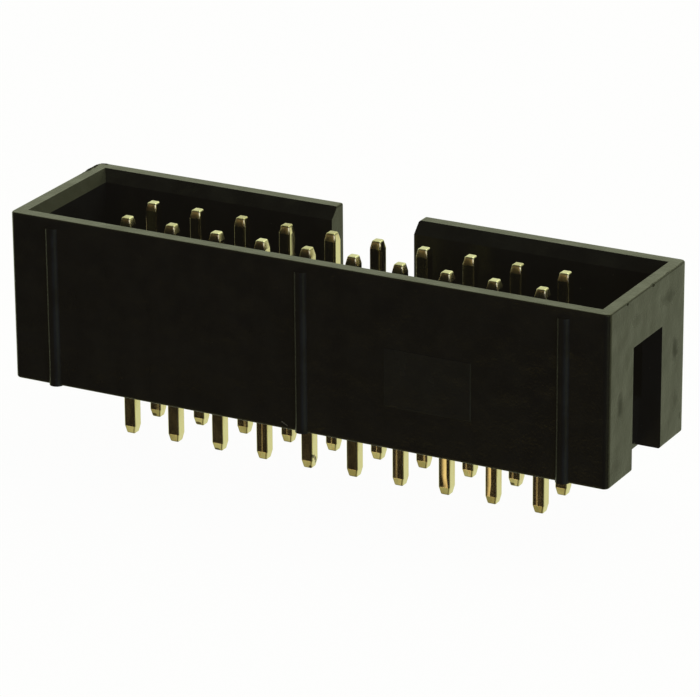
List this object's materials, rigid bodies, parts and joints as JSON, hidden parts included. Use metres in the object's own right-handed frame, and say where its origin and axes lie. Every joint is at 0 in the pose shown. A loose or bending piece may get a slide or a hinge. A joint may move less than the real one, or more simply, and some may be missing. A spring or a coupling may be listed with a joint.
{
  "type": "box header",
  "caption": "Straight two-row shrouded pin header for a circuit board, with an open box round square pins, a key slot in the rear wall and a slot in each end.",
  "frame": {"origin": "middle of the contact field, on the face that lies on the board", "axes": "+X along the rows, -Y out of the ribbed wall, +Y out of the wall with the key slot, +Z out of the mouth, away from the board"},
  "size_m": [0.0328, 0.009, 0.012],
  "materials": {
    "housing": "moulded, near black, faintly mottled satin",
    "contact": "pale gold plating on square wire, cut ends"
  },
  "bodies": {
    "root": {"housing": "housing", "pin_01": "contact", "pin_02": "contact", "pin_03": "contact", "pin_04": "contact", "pin_05": "contact", "pin_06": "contact", "pin_07": "contact", "pin_08": "contact", "pin_09": "contact", "pin_10": "contact", "pin_11": "contact", "pin_12": "contact", "pin_13": "contact", "pin_14": "contact", "pin_15": "contact", "pin_16": "contact", "pin_17": "contact", "pin_18": "contact", "pin_19": "contact", "pin_20": "contact"}
  },
  "joints": []
}
